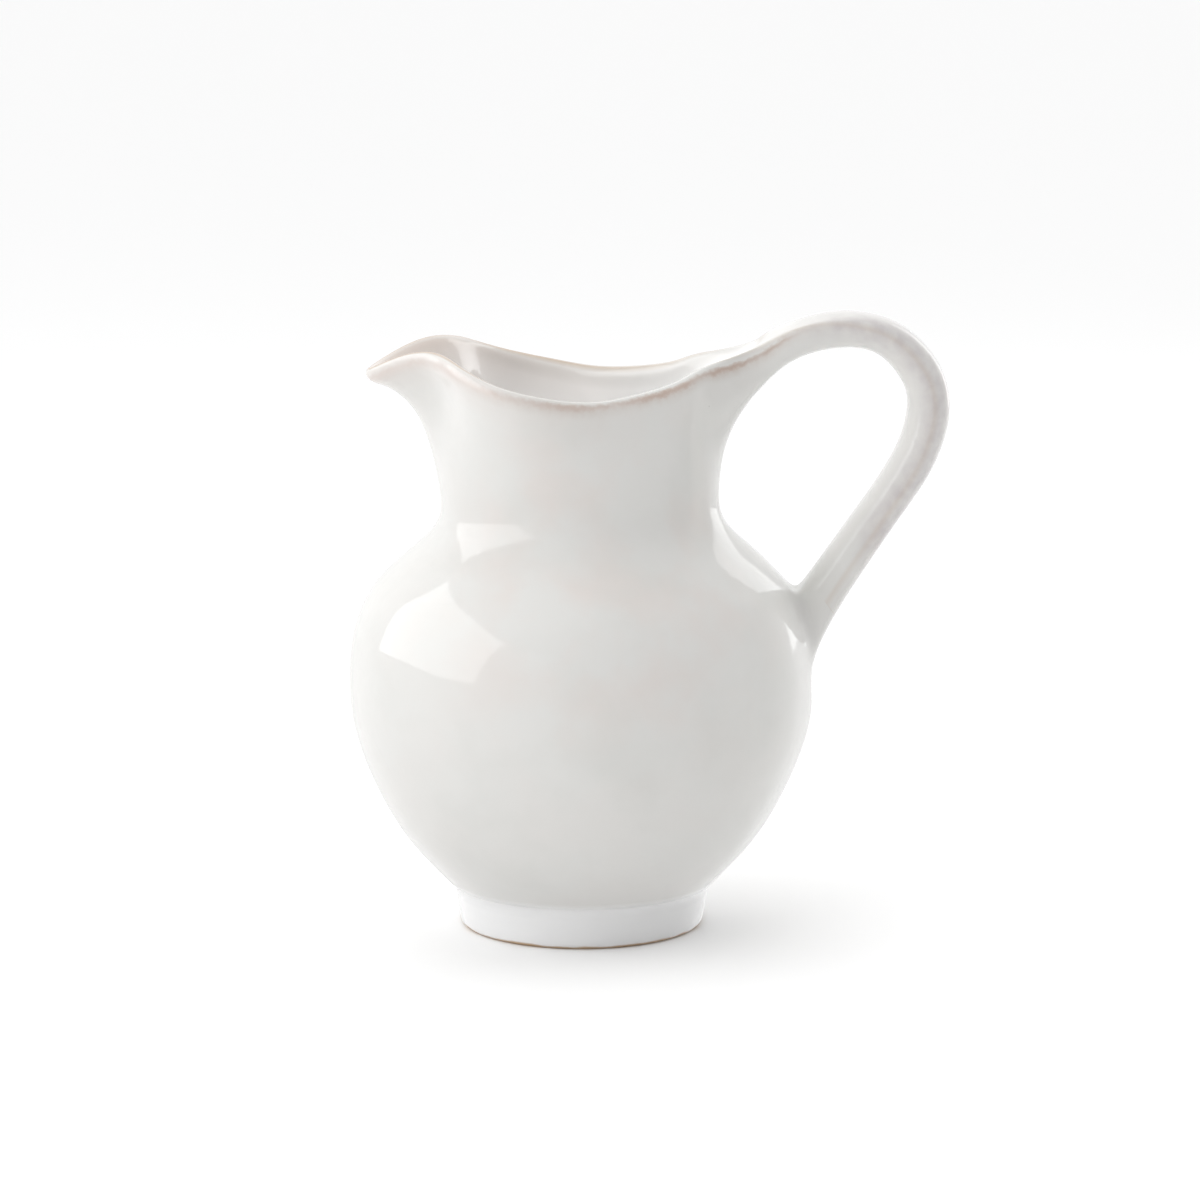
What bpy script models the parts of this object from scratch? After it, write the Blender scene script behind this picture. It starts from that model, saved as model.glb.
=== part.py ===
"""A small stoneware cream pitcher, as three solids in metres with +Z up.

The turned body has a pulled spout at -X, the strap handle is drawn out of the rim at +X and comes down
on the shoulder, and the foot ring stands under the belly. The origin is on the turning axis, on the table.

Body and handle are set out together as one net of points, so that the strap grows out of the rim without
a step. The net is smoothed as one surface, then parted where the real pieces are joined with slip.
"""

import math

import bmesh
import bpy
from mathutils import Vector
from mathutils.geometry import interpolate_bezier

# Foot ring
foot_height = 0.0090
foot_radius = 0.0257  # outside, where it stands on the table
foot_flare = 0.0008  # how much wider the ring is at its top
foot_top_radius = foot_radius + foot_flare
foot_wall = 0.0052
foot_edge = 0.0009  # rounding of the standing edge

# Turned body
crease_overhang = 0.0013
crease_radius = foot_top_radius + crease_overhang  # where the belly starts, just outside the foot ring
belly_radius = 0.0488
belly_height = 0.0521
neck_radius = 0.0288
neck_height = 0.0920
drawn_neck_height = 0.0920  # the neck height that the heights of the mouth and the strap are given for
wall = 0.0034
floor = 0.0052
joint_gap = 0.0003  # the slip between two pieces
joint_slope = 2.0  # how much further than the gap the strap's ends draw back, because they meet at a slope

# How full the outline is: how far it runs straight on from each of its widths
above_crease = 0.0036
crease_slope = 28.0  # in degrees, where the belly leaves the crease
below_belly = 0.0216
above_belly = 0.0300
below_neck = 0.0156
above_neck = 0.0110
below_lip = 0.0080
below_lip_at_spout = 0.0107
neck_lean_at_spout = 9.0  # in degrees: the pull of the spout starts in the neck
neck_pull_at_spout = 0.0008

# Mouth: angle from the handle in degrees, crest radius, crest height, outward lean in degrees
mouth = (
    (0, 0.0372, 0.1245, 44),
    (25, 0.0288, 0.1199, 12),
    (45, 0.0262, 0.1172, -2),
    (68, 0.0268, 0.1155, 0),
    (90, 0.0310, 0.1151, 8),
    (113, 0.0362, 0.1175, 18),
    (133, 0.0358, 0.1211, 26),
    (150, 0.0344, 0.1226, 38),
    (165, 0.0382, 0.1216, 58),
    (180, 0.0450, 0.1172, 76),
)

# Strap handle, from the rim over the top and down to the shoulder: x and z of its outer face, x and z of
# its finger side, half width, and how far up from the finger side its side ridge stands, as a share
strap = (
    (0.0372, 0.1248, 0.0376, 0.1146, 0.0070, 0.80),
    (0.0454, 0.1285, 0.0446, 0.1204, 0.0071, 0.76),
    (0.0556, 0.1300, 0.0546, 0.1227, 0.0071, 0.58),
    (0.0662, 0.1273, 0.0622, 0.1208, 0.0070, 0.50),
    (0.0740, 0.1197, 0.0670, 0.1150, 0.0071, 0.50),
    (0.0766, 0.1103, 0.0679, 0.1100, 0.0072, 0.50),
    (0.0746, 0.1008, 0.0668, 0.1043, 0.0072, 0.50),
    (0.0704, 0.0924, 0.0633, 0.0972, 0.0071, 0.50),
    (0.0631, 0.0818, 0.0562, 0.0867, 0.0070, 0.50),
    (0.0537, 0.0669, 0.0470, 0.0737, 0.0072, 0.50),
)
strap_corner = 0.71  # where the cross-section's corners are, as a share of its half width
strap_crown = 0.10  # how far its faces fall from their middles to those corners, as a share of its depth
strap_set_back = 0.0022  # how far the strap's two sides start behind its middle, where the lips run into it
drawn_root_low = 0.0565  # the strap's foot on the shoulder, from its lowest to its highest point
drawn_root_high = 0.0718
root_half_angle = 9.0  # in degrees, seen from the axis
root_reach = 0.0474  # the belly's radius under the strap's foot that its last stations are given for
root_follows = 4  # how many of the last stations move with the belly when it is made wider or slimmer

# What lies between the belly and the neck is stretched with the distance between them.
shoulder_stretch = (neck_height - belly_height) / (drawn_neck_height - belly_height)
root_low = belly_height + shoulder_stretch * (drawn_root_low - belly_height)
root_high = belly_height + shoulder_stretch * (drawn_root_high - belly_height)
neck_lift = neck_height - drawn_neck_height
root_lift = (root_low + root_high - drawn_root_low - drawn_root_high) / 2

# Fineness of the net
half_columns = 12
lower_rows = 5
shoulder_rows = 3
throat_rows = 5
strap_steps = 12
smooth_levels = 1
settle_rounds = 4
foot_segments = 48

BODY, HANDLE = 0, 1


def clear_scene():
    for obj in list(bpy.data.objects):
        bpy.data.objects.remove(obj, do_unlink=True)


def clay(name, colour, roughness):
    material = bpy.data.materials.new(name)
    material.use_nodes = True
    shader = material.node_tree.nodes["Principled BSDF"]
    shader.inputs["Base Color"].default_value = (*colour, 1.0)
    shader.inputs["Roughness"].default_value = roughness
    shader.inputs["Metallic"].default_value = 0.0
    return material


def smooth_between(stations, at):
    """The values at a place between stations, on a smooth curve through them (Catmull-Rom)."""
    first = min(max(int(at), 0), len(stations) - 2)
    share = at - first
    near, far = Vector(stations[first]), Vector(stations[first + 1])
    before = Vector(stations[first - 1]) if first > 0 else 2 * near - far
    after = Vector(stations[first + 2]) if first + 2 < len(stations) else 2 * far - near
    leave, arrive = (far - before) / 2, (after - near) / 2
    return (
        near * (2 * share**3 - 3 * share**2 + 1)
        + leave * (share**3 - 2 * share**2 + share)
        + far * (3 * share**2 - 2 * share**3)
        + arrive * (share**3 - share**2)
    )


# ---- The turned outline ---------------------------------------------------


def belly_outline():
    """Fine points (radius, height) of the outside from the crease over the belly to the neck."""
    crease = Vector((crease_radius, foot_height))
    belly = Vector((belly_radius, belly_height))
    neck = Vector((neck_radius, neck_height))
    up = Vector((0, 1))
    slope = math.radians(crease_slope)
    leave = crease + above_crease * Vector((math.cos(slope), math.sin(slope)))
    lower = interpolate_bezier(crease, leave, belly - below_belly * up, belly, 60)
    above, below = above_belly * shoulder_stretch, below_neck * shoulder_stretch
    upper = interpolate_bezier(belly, belly + above * up, neck - below * up, neck, 60)
    return lower + upper[1:]


outline = belly_outline()


def radius_at(height):
    for low, high in zip(outline, outline[1:]):
        if low.y <= height <= high.y:
            return low.x + (high.x - low.x) * (height - low.y) / (high.y - low.y)
    return outline[-1].x


def inward(low, high):
    """The direction into the wall, square to the line from low to high."""
    along = (high - low).normalized()
    return Vector((-along.y, along.x))


def column_angles():
    """Angles in degrees round the body. The strap's root takes the first column on either side of 0."""
    step = (180 - root_half_angle) / (half_columns - 1)
    half = [0.0] + [root_half_angle + step * i for i in range(half_columns)]
    return half + [-angle for angle in reversed(half[1:-1])]


angles = column_angles()


def mouth_at(angle):
    """Crest radius, crest height and lean of the lip at an angle."""
    angle = abs(angle)
    for i, (low, high) in enumerate(zip(mouth, mouth[1:])):
        if angle <= high[0]:
            break
    at = i + (angle - low[0]) / (high[0] - low[0])
    mirrored = (mouth[1], *mouth, mouth[-2])
    crest_radius, crest_height, lean = smooth_between([row[1:] for row in mirrored], at + 1)
    return crest_radius, crest_height + neck_lift, lean


def lip_at(angle):
    """The lip's outer, top and inner points (radius, height) at an angle, and the way the wall runs there."""
    crest_radius, crest_height, lean = mouth_at(angle)
    lean = math.radians(lean)
    along = Vector((math.sin(lean), math.cos(lean)))
    outward = Vector((math.cos(lean), -math.sin(lean)))
    crest = Vector((crest_radius, crest_height))
    outer = crest - 0.5 * wall * along + 0.5 * wall * outward
    inner = crest - 0.5 * wall * along - 0.5 * wall * outward
    return outer, crest, inner, along


def throat(angle, outer, along):
    """Points (radius, height) up the outside from the neck to the lip, closer together near the lip."""
    spout = max(0, -math.cos(math.radians(angle)))
    lean = math.radians(neck_lean_at_spout * spout)
    reach = below_lip + (below_lip_at_spout - below_lip) * spout
    neck = Vector((neck_radius + neck_pull_at_spout * spout, neck_height))
    leave = neck + above_neck * Vector((math.sin(lean), math.cos(lean)))
    fine = interpolate_bezier(neck, leave, outer - reach * along, outer, 41)
    shares = [1 - (1 - i / throat_rows) ** 1.25 for i in range(throat_rows + 1)]
    return [fine[round(40 * share)] for share in shares]


# ---- The strap ------------------------------------------------------------


def strap_section(at):
    """The eight points of the strap's cross-section at a place along it: outer face first, then round."""
    out_x, out_z, in_x, in_z, half_width, ridge = smooth_between(strap, at)
    last = len(strap) - 1
    near_root = max(0, 1 - (last - at) / root_follows)
    shift = near_root * (radius_at((root_low + root_high) / 2) - root_reach)
    lift = neck_lift + (root_lift - neck_lift) * at / last
    finger, outer = Vector((in_x + shift, 0, in_z + lift)), Vector((out_x + shift, 0, out_z + lift))
    behind = strap_set_back * max(0, 1 - at)
    points = []
    near, low, high = strap_corner, strap_crown, 1 - strap_crown
    for share, side in (
        (high, -near), (1, 0), (high, near), (ridge, 1), (low, near), (0, 0), (low, -near), (ridge, -1),
    ):
        point = finger.lerp(outer, share) + Vector((0, side * half_width, 0))
        points.append(point - abs(side) * behind * Vector((1, 0, 0.6)))
    return points


# ---- The net --------------------------------------------------------------


def flat(point):
    """A point in space as (radius, height)."""
    return Vector((math.hypot(point.x, point.y), point.z))


def body_rows():
    """Rows of (radius, height) for each column, from the middle of the underside up and over the lip to the
    middle of the inside floor, with the numbers of the row at the strap's foot and of the lip's outer row."""
    heights = [foot_height + (root_low - foot_height) * i / lower_rows for i in range(lower_rows)]
    heights += [root_low, (root_low + root_high) / 2]
    heights += [root_high + (neck_height - root_high) * i / shoulder_rows for i in range(shoulder_rows)]
    rise = [Vector((radius_at(height), height)) for height in heights]
    foot_inside = foot_radius - foot_wall
    section = strap_section(0)
    strap_ends = {0: (flat(section[5]), flat(section[1])), 1: (flat(section[4]), flat(section[2]))}
    columns = []
    for i, angle in enumerate(angles):
        outer, crest, inner, along = lip_at(angle)
        if min(i, len(angles) - i) in strap_ends:
            outer, inner = strap_ends[min(i, len(angles) - i)]
        run = throat(angle, outer, along)
        outside = rise + run
        inside = []
        for k in range(1, len(outside) - 1):
            share = max(0, k - len(rise)) / throat_rows
            thick = wall + ((outer - inner).length - wall) * share**2
            inside.append(outside[k] + thick * inward(outside[k - 1], outside[k + 1]))
        floor_height = foot_height + floor
        inside = [point for point in inside if point.y > floor_height + wall]
        floor_radius = inside[0].x - wall
        under = [Vector((foot_inside / 2, foot_height)), Vector((foot_inside, foot_height))]
        bottom = [Vector((floor_radius, floor_height)), Vector((floor_radius / 2, floor_height))]
        columns.append(under + outside + [crest, inner] + inside[::-1] + bottom)
    return columns, len(under) + lower_rows, len(under) + len(outside) - 1


def build_net():
    """The whole net as a mesh: faces of the body and of the handle are told apart by their material."""
    net = bmesh.new()
    columns, root_row, lip_row = body_rows()
    count = len(angles)
    grid = []
    for angle, column in zip(angles, columns):
        c, s = math.cos(math.radians(angle)), math.sin(math.radians(angle))
        grid.append([net.verts.new((p.x * c, p.x * s, p.y)) for p in column])
    last = len(grid[0]) - 1
    section = strap_section(0)
    near, middle, far = grid[-1], grid[0], grid[1]
    # At the strap the lip's points are the strap's first section, and the middle column has no crest.
    first_loop = [
        near[lip_row + 2], middle[lip_row + 2], far[lip_row + 2], far[lip_row + 1],
        far[lip_row], middle[lip_row], near[lip_row], near[lip_row + 1],
    ]
    for vert, place in zip(first_loop, section):
        vert.co = place
    for i in range(count):
        here, there = grid[i], grid[(i + 1) % count]
        at_strap = i in (0, count - 1)
        for row in range(last):
            if at_strap and (row in (root_row, root_row + 1) or row in (lip_row, lip_row + 1)):
                continue
            net.faces.new((here[row], there[row], there[row + 1], here[row + 1]))
    net.verts.remove(middle[lip_row + 1])
    under_middle = net.verts.new((0, 0, foot_height))
    floor_middle = net.verts.new((0, 0, foot_height + floor))
    for i in range(count):
        here, there = grid[i], grid[(i + 1) % count]
        net.faces.new((under_middle, there[0], here[0]))
        net.faces.new((floor_middle, here[last], there[last]))
    # The strap's last loop is the edge of the opening in the shoulder, so it meets the belly all round.
    last_loop = [
        near[root_row], middle[root_row], far[root_row], far[root_row + 1],
        far[root_row + 2], middle[root_row + 2], near[root_row + 2], near[root_row + 1],
    ]
    loops = [first_loop]
    for i in range(1, strap_steps + 1):
        places = strap_section((len(strap) - 1) * i / strap_steps)
        loops.append([net.verts.new(place) for place in places])
    loops.append(last_loop)
    for loop, following in zip(loops, loops[1:]):
        for i in range(8):
            j = (i + 1) % 8
            face = net.faces.new((loop[i], loop[j], following[j], following[i]))
            face.material_index = HANDLE
    net.verts.remove(middle[root_row + 1])
    sharp = net.edges.layers.float.new("crease_edge")
    crease_row = 2
    for i in range(count):
        edge = net.edges.get((grid[i][crease_row], grid[(i + 1) % count][crease_row]))
        edge[sharp] = 1.0
    bmesh.ops.recalc_face_normals(net, faces=net.faces)
    return net, sharp


def settle(net, sharp):
    """Moves the net's points so that the smoothed surface passes through where they were set out."""
    goals = []
    for vert in net.verts:
        ridge = [edge.other_vert(vert) for edge in vert.link_edges if edge[sharp]]
        around = [edge.other_vert(vert) for edge in vert.link_edges]
        if ridge:
            goals.append((vert, ridge, [], 4, 1, vert.co.copy()))
        elif all(len(face.verts) == 4 for face in vert.link_faces):
            opposite = [
                next(v for v in face.verts if v is not vert and v not in around) for face in vert.link_faces
            ]
            goals.append((vert, around, opposite, len(around) ** 2, 4, vert.co.copy()))
    for _ in range(settle_rounds):
        moves = []
        for vert, around, opposite, own, beside, goal in goals:
            total = own * vert.co + beside * sum((v.co for v in around), Vector())
            total += sum((v.co for v in opposite), Vector())
            moves.append((vert, goal - total / (own + beside * len(around) + len(opposite))))
        for vert, move in moves:
            vert.co += move


def smoothed(net):
    """The net as one smooth mesh, with its modifier applied."""
    mesh = bpy.data.meshes.new("net")
    net.to_mesh(mesh)
    net.free()
    obj = bpy.data.objects.new("net", mesh)
    bpy.context.scene.collection.objects.link(obj)
    subdivide = obj.modifiers.new("smooth", "SUBSURF")
    subdivide.levels = smooth_levels
    subdivide.render_levels = smooth_levels
    bpy.context.view_layer.update()
    graph = bpy.context.evaluated_depsgraph_get()
    smooth_mesh = bpy.data.meshes.new_from_object(obj.evaluated_get(graph))
    bpy.data.objects.remove(obj, do_unlink=True)
    return smooth_mesh


def border_loops(part):
    """The open borders of a mesh, as lists of vertices."""
    border = {edge for edge in part.edges if edge.is_boundary}
    loops = []
    while border:
        edge = border.pop()
        start, vert = edge.verts
        loop = [start]
        while vert is not start:
            loop.append(vert)
            edge = next(e for e in vert.link_edges if e in border)
            border.remove(edge)
            vert = edge.other_vert(vert)
        loops.append(loop)
    return loops


def part_from(smooth_mesh, name, which, material):
    """One piece cut out of the smooth mesh along the joints, with its ends closed and the slip's gap left."""
    part = bmesh.new()
    part.from_mesh(smooth_mesh)
    others = [face for face in part.faces if face.material_index != which]
    bmesh.ops.delete(part, geom=others, context="FACES")
    for loop in border_loops(part):
        centre = sum((vert.co for vert in loop), Vector()) / len(loop)
        if which == HANDLE:
            # The strap's ends draw back along the strap, by more than the gap because they slope.
            away = Vector((1, 0, 1 if centre.z > neck_height else 0.35)).normalized()
            for vert in loop:
                vert.co += joint_slope * joint_gap * away
            centre += joint_slope * joint_gap * away
        hub = part.verts.new(centre)
        for i, vert in enumerate(loop):
            part.faces.new((vert, loop[(i + 1) % len(loop)], hub))
    bmesh.ops.recalc_face_normals(part, faces=part.faces)
    mesh = bpy.data.meshes.new(name)
    part.to_mesh(mesh)
    part.free()
    return add_piece(name, mesh, material)


def add_piece(name, mesh, material):
    mesh.materials.clear()
    mesh.materials.append(material)
    for face in mesh.polygons:
        face.material_index = 0
    mesh.shade_smooth()
    mesh.set_sharp_from_angle(angle=math.radians(40))
    obj = bpy.data.objects.new(name, mesh)
    bpy.context.scene.collection.objects.link(obj)
    return obj


def make_foot_ring(material):
    """The ring as a turned section: a slightly flared outside and a flat standing edge with round corners."""
    top = foot_height - joint_gap
    inside = foot_radius - foot_wall
    corners = ((foot_radius, -1), (inside, 1))
    section = [Vector((inside, 0, top)), Vector((foot_top_radius, 0, top))]
    section.append(Vector(((foot_top_radius + foot_radius) / 2 + foot_edge / 4, 0, top / 2)))
    for radius, turn in corners:
        steps = range(4) if turn < 0 else range(3, -1, -1)
        for i in steps:
            a = math.radians(30 * i)
            x = radius + turn * foot_edge * (1 - math.cos(a))
            section.append(Vector((x, 0, foot_edge * (1 - math.sin(a)))))
    ring = bmesh.new()
    verts = [ring.verts.new(point) for point in section]
    edges = [ring.edges.new((a, b)) for a, b in zip(verts, verts[1:] + verts[:1])]
    bmesh.ops.spin(
        ring, geom=verts + edges, cent=(0, 0, 0), axis=(0, 0, 1), angle=2 * math.pi,
        steps=foot_segments, use_merge=True,
    )
    bmesh.ops.recalc_face_normals(ring, faces=ring.faces)
    mesh = bpy.data.meshes.new("foot_ring")
    ring.to_mesh(mesh)
    ring.free()
    return add_piece("foot_ring", mesh, material)


def main():
    clear_scene()
    glaze = clay("white_glaze", (0.83, 0.81, 0.79), 0.12)
    net, sharp = build_net()
    settle(net, sharp)
    smooth_mesh = smoothed(net)
    part_from(smooth_mesh, "body", BODY, glaze)
    part_from(smooth_mesh, "handle", HANDLE, glaze)
    make_foot_ring(glaze)
    bpy.data.meshes.remove(smooth_mesh)


main()
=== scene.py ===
# %% [markdown]
# # A small cream pitcher
# A pitcher like this is three pieces of clay. The body is thrown on the wheel, its rim is pushed and
# pulled into a spout, a strap is drawn out for the handle, and a ring is added underneath to stand on.
# The three are joined with slip, dipped in a white glaze and fired, which hides the joints.
# This lesson makes the clay first, then the glaze, and last the floor, the lamps and the camera.

# %% Open the measured frame
import math

import bmesh
import bpy
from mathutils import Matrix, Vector
from mathutils.geometry import interpolate_bezier


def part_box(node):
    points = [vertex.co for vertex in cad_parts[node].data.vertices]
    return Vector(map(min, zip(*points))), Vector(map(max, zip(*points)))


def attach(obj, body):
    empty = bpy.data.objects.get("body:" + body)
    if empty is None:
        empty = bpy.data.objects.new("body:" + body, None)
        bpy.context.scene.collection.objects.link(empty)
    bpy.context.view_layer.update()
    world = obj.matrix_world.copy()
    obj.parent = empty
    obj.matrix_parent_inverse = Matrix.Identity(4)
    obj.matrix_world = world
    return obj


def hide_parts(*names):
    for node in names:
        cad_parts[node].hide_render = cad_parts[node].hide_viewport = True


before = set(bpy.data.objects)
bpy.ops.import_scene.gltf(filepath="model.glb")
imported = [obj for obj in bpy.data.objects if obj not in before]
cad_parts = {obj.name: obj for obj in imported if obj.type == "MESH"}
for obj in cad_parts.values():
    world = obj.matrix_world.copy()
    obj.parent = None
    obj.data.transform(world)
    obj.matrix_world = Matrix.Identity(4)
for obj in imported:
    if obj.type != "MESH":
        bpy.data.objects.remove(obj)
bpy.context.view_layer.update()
ring_low, ring_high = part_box("foot_ring")
print("the frame's pieces:", ", ".join(sorted(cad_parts)))
print(f"the measured foot ring is {1000 * (ring_high[0] - ring_low[0]):.1f} mm across")

# %% [markdown]
# ## The sizes
# All sizes are in metres, with +Z up and the wheel's axis at x = 0 and y = 0. The spout is at -X and the
# handle at +X. A thrown pot is described by few numbers: how wide it is at the crease over the foot, at
# the belly and at the neck, and how high each of those is. They are kept together here, so that the
# pitcher can be made slimmer or rounder by changing one of them.

# %% Sizes of the thrown body
foot_height = 0.0090
crease_radius = 0.0278
belly_radius, belly_height = 0.0488, 0.0521
neck_radius, neck_height = 0.0288, 0.0920
wall = 0.0034
floor_thickness = 0.0052
under_radius = 0.0205  # the flat middle of the underside, inside the foot ring

# How far the outline runs straight on from each of its widths: more makes it fuller there.
above_crease, crease_slope = 0.0036, math.radians(28)
below_belly, above_belly = 0.0216, 0.0300
below_neck, above_neck = 0.0156, 0.0110
below_lip, below_spout_lip = 0.0080, 0.0107
spout_neck_lean, spout_neck_pull = math.radians(9), 0.0008
outline_points = 60  # fine points along each curve of the outline
throat_steps = 40  # fine steps along a curve from the neck to the lip
throat_crowding = 1.25  # above 1, the throat's rows crowd towards the lip
print(f"belly {2000 * belly_radius:.0f} mm wide, neck {2000 * neck_radius:.0f} mm wide")

# %% [markdown]
# ## A curve through a few stations
# The mouth and the strap both change shape along their length. Each is given as a few stations, and a
# Catmull-Rom curve runs through them. It passes exactly through every station, which makes it easy to
# say in numbers what the eye wants to see.


# %% The curve through the stations
def between(stations, at):
    """The values at a place along the stations, where 1.5 is halfway from the second to the third."""
    first = min(max(int(at), 0), len(stations) - 2)
    share = at - first
    near, far = Vector(stations[first]), Vector(stations[first + 1])
    before = Vector(stations[first - 1]) if first > 0 else 2 * near - far
    after = Vector(stations[first + 2]) if first + 2 < len(stations) else 2 * far - near
    leave, arrive = (far - before) / 2, (after - near) / 2
    near_part = near * (2 * share**3 - 3 * share**2 + 1) + leave * (share**3 - 2 * share**2 + share)
    far_part = far * (3 * share**2 - 2 * share**3) + arrive * (share**3 - share**2)
    return near_part + far_part


# %% [markdown]
# ## The outline that the potter's hand follows
# Two Bezier curves make the outside, from the crease up over the belly and in to the neck. Beziers are
# a good match for a thrown wall, because clay that is lifted between two fingers bends evenly.

# %% The outline from the crease to the neck
crease = Vector((crease_radius, foot_height))
belly = Vector((belly_radius, belly_height))
neck = Vector((neck_radius, neck_height))
leave_crease = crease + above_crease * Vector((math.cos(crease_slope), math.sin(crease_slope)))
under_belly, over_belly = belly - Vector((0, below_belly)), belly + Vector((0, above_belly))
under_neck = neck - Vector((0, below_neck))
lower_wall = interpolate_bezier(crease, leave_crease, under_belly, belly, outline_points)
upper_wall = interpolate_bezier(belly, over_belly, under_neck, neck, outline_points)
outline = lower_wall + upper_wall[1:]


def radius_at(height):
    for low, high in zip(outline, outline[1:]):
        if low.y <= height <= high.y:
            return low.x + (high.x - low.x) * (height - low.y) / (high.y - low.y)
    return outline[-1].x


for height in (0.03, 0.08):
    print(f"{1000 * height:.0f} mm up, the wall is {1000 * radius_at(height):.1f} mm out")

# %% [markdown]
# ## The mouth
# The round mouth is pinched behind the spout, and the spout is stroked outwards and down with a wet
# finger. Seen from above the mouth is an egg with its narrow end at the handle. Each station gives an
# angle from the handle, how far out and how high the crest of the rim is there, and how far the lip
# leans outwards. Only one side is listed, because the other side mirrors it.

# %% The mouth's stations
mouth = (
    (0, 0.0372, 0.1245, 44),
    (25, 0.0288, 0.1199, 12),
    (45, 0.0262, 0.1172, -2),
    (68, 0.0268, 0.1155, 0),
    (90, 0.0310, 0.1151, 8),
    (113, 0.0362, 0.1175, 18),
    (133, 0.0358, 0.1211, 26),
    (150, 0.0344, 0.1226, 38),
    (165, 0.0382, 0.1216, 58),
    (180, 0.0450, 0.1172, 76),
)


def lip_at(angle):
    """The lip's outer, top and inner points as (radius, height), and the way the wall runs up to it."""
    angle = abs(angle)
    for i, (low, high) in enumerate(zip(mouth, mouth[1:])):
        if angle <= high[0]:
            break
    at = i + (angle - low[0]) / (high[0] - low[0])
    mirrored = (mouth[1], *mouth, mouth[-2])
    crest_radius, crest_height, lean = between([station[1:] for station in mirrored], at + 1)
    lean = math.radians(lean)
    along = Vector((math.sin(lean), math.cos(lean)))
    outward = Vector((math.cos(lean), -math.sin(lean)))
    crest = Vector((crest_radius, crest_height))
    below = crest - 0.5 * wall * along
    return below + 0.5 * wall * outward, crest, below - 0.5 * wall * outward, along


print(f"the spout's tip is {1000 * lip_at(180)[1].x:.1f} mm out and {1000 * lip_at(180)[1].y:.1f} mm up")

# %% [markdown]
# ## The strap
# The handle is a flat strap, thicker in the middle than at its two edges. It leaves the rim, rises over
# a finger, and comes down on the shoulder. Each station gives the middle of the outer face and the
# middle of the finger side, as x and z, then half the width and where the edge's ridge stands between
# the two faces. Eight points round each station are enough, as the surface is smoothed later.

# %% The strap's stations and its cross-section
strap = (
    (0.0372, 0.1248, 0.0376, 0.1146, 0.0070, 0.80),
    (0.0454, 0.1285, 0.0446, 0.1204, 0.0071, 0.76),
    (0.0556, 0.1300, 0.0546, 0.1227, 0.0071, 0.58),
    (0.0662, 0.1273, 0.0622, 0.1208, 0.0070, 0.50),
    (0.0740, 0.1197, 0.0670, 0.1150, 0.0071, 0.50),
    (0.0766, 0.1103, 0.0679, 0.1100, 0.0072, 0.50),
    (0.0746, 0.1008, 0.0668, 0.1043, 0.0072, 0.50),
    (0.0704, 0.0924, 0.0633, 0.0972, 0.0071, 0.50),
    (0.0631, 0.0818, 0.0562, 0.0867, 0.0070, 0.50),
    (0.0537, 0.0669, 0.0470, 0.0737, 0.0072, 0.50),
)
strap_corner = 0.71  # where the section's corners are, as a share of its half width
strap_crown = 0.10  # how far its faces fall from the middle to those corners, as a share of its depth
strap_set_back = 0.0022  # how far its two sides start behind its middle, where the lips run into it
strap_drop = 0.6  # how far that set-back also lowers them, as a share
strap_steps = 12


def strap_section(at):
    """Eight points round the strap: three on its outer face, a ridge, three on its finger side, a ridge."""
    out_x, out_z, in_x, in_z, half_width, ridge = between(strap, at)
    finger, outer = Vector((in_x, 0, in_z)), Vector((out_x, 0, out_z))
    behind = strap_set_back * max(0, 1 - at)
    near, low, high = strap_corner, strap_crown, 1 - strap_crown
    outer_face, finger_side = ((high, -near), (1, 0), (high, near)), ((low, near), (0, 0), (low, -near))
    points = []
    for share, side in (*outer_face, (ridge, 1), *finger_side, (ridge, -1)):
        point = finger.lerp(outer, share) + Vector((0, side * half_width, 0))
        points.append(point - abs(side) * behind * Vector((1, 0, strap_drop)))
    return points


ridge_run = [strap_section(i)[3] for i in range(len(strap))]
ridge_length = sum((a - b).length for a, b in zip(ridge_run, ridge_run[1:]))
print(f"the strap is {1000 * ridge_length:.0f} mm long along its ridge")

# %% [markdown]
# ## The net of clay
# A strap that is drawn out of a rim has no step where it starts: the clay flows from one to the other.
# Two separate shapes pushed together would show a hard line there. So one net of points holds the body
# and the strap, with 24 columns round the pot, and every face remembers which of the two it belongs to.
# Each point also remembers how far along the clay it is from the nearest rim or ridge, because glaze
# runs thin there. The outside of the wall counts as minus and the inside as plus.

# %% The columns round the pot
root_low, root_high = 0.0565, 0.0718  # where the strap's foot sits on the shoulder
root_half_angle = 9.0
half_columns = 12
lower_rows, shoulder_rows, throat_rows = 5, 3, 5
column_step = (180 - root_half_angle) / (half_columns - 1)
half_round = [0.0] + [root_half_angle + column_step * i for i in range(half_columns)]
angles = half_round + [-angle for angle in reversed(half_round[1:-1])]
rim_rows = (root_low, (root_low + root_high) / 2)
heights = [foot_height + (root_low - foot_height) * i / lower_rows for i in range(lower_rows)]
heights += rim_rows
heights += [root_high + (neck_height - root_high) * i / shoulder_rows for i in range(shoulder_rows)]
root_row = 2 + lower_rows
lip_row = 2 + len(heights) + throat_rows
print(f"{len(angles)} columns round the pot, with {len(heights)} rows from the crease to the neck")

# %% [markdown]
# ## One column of the wall
# A column starts at the middle of the underside, climbs the outside, turns over the lip and goes down
# the inside to the middle of the floor. The inside is the outside moved in by the wall's thickness,
# square to the wall, which is what a potter's two hands make.


# %% A column from the underside over the lip to the floor
def flat(point):
    return Vector((math.hypot(point.x, point.y), point.z))


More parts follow.
